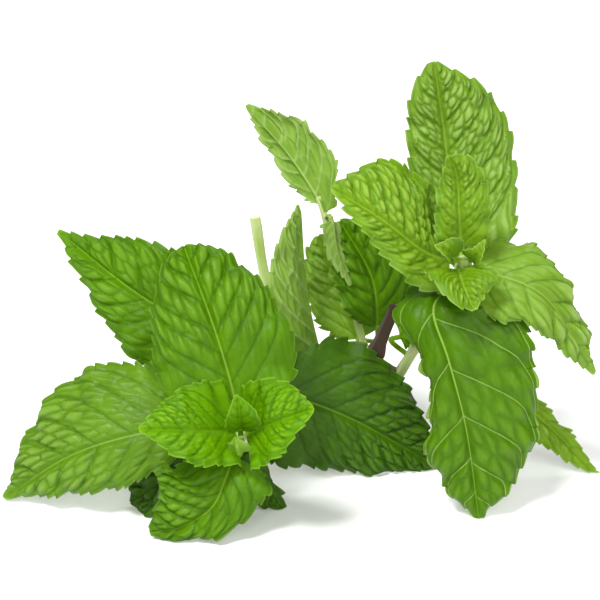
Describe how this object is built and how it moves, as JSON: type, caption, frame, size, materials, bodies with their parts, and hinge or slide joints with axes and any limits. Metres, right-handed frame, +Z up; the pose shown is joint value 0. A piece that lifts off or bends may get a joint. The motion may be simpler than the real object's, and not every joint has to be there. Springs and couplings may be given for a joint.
{
  "type": "mint sprig",
  "caption": "Cut mint sprig lying propped on its own leaves: toothed, wrinkled leaves in crossed pairs round leafy shoot tips on a branching green stem.",
  "frame": {"origin": "middle of the sprig's box, on the surface that it lies on", "axes": "+X from the left shoot tip to the right one, +Y from the front, where the shoot tips look, to the cut end of the stem at the back, +Z up"},
  "size_m": [0.166, 0.1114, 0.1191],
  "materials": {
    "young_leaf": "satin",
    "grown_leaf": "satin",
    "shaded_leaf": "satin",
    "pale_backed_leaf": "matte",
    "green_stem": "satin",
    "dried_stem": "matte"
  },
  "bodies": {
    "root": {"main_stem": "green_stem", "left_shoot_stem": "green_stem", "right_shoot_stem": "green_stem", "side_shoot_stem": "green_stem", "dried_stub": "dried_stem", "left_rear_leaf": "grown_leaf", "left_under_leaf": "shaded_leaf", "left_shaded_leaf": "shaded_leaf", "left_spreading_leaf": "grown_leaf", "left_upright_leaf": "grown_leaf", "left_front_leaf": "grown_leaf", "left_inner_leaf_left": "young_leaf", "left_inner_leaf_right": "young_leaf", "left_bud_leaf_upper": "young_leaf", "left_bud_leaf_lower": "young_leaf", "middle_dark_leaf": "shaded_leaf", "middle_hidden_leaf": "grown_leaf", "middle_floor_leaf": "shaded_leaf", "rear_lance_leaf": "pale_backed_leaf", "rear_small_leaf": "pale_backed_leaf", "rear_folded_leaf": "pale_backed_leaf", "rear_glossy_leaf": "grown_leaf", "rear_dark_leaf": "shaded_leaf", "right_floor_leaf": "pale_backed_leaf", "right_upright_leaf": "grown_leaf", "right_hanging_leaf": "grown_leaf", "right_pale_leaf": "young_leaf", "right_arching_leaf": "grown_leaf", "right_inner_upright_leaf": "young_leaf", "right_inner_front_leaf": "young_leaf", "right_bud_leaf_left": "young_leaf", "right_bud_leaf_right": "young_leaf"}
  },
  "joints": []
}
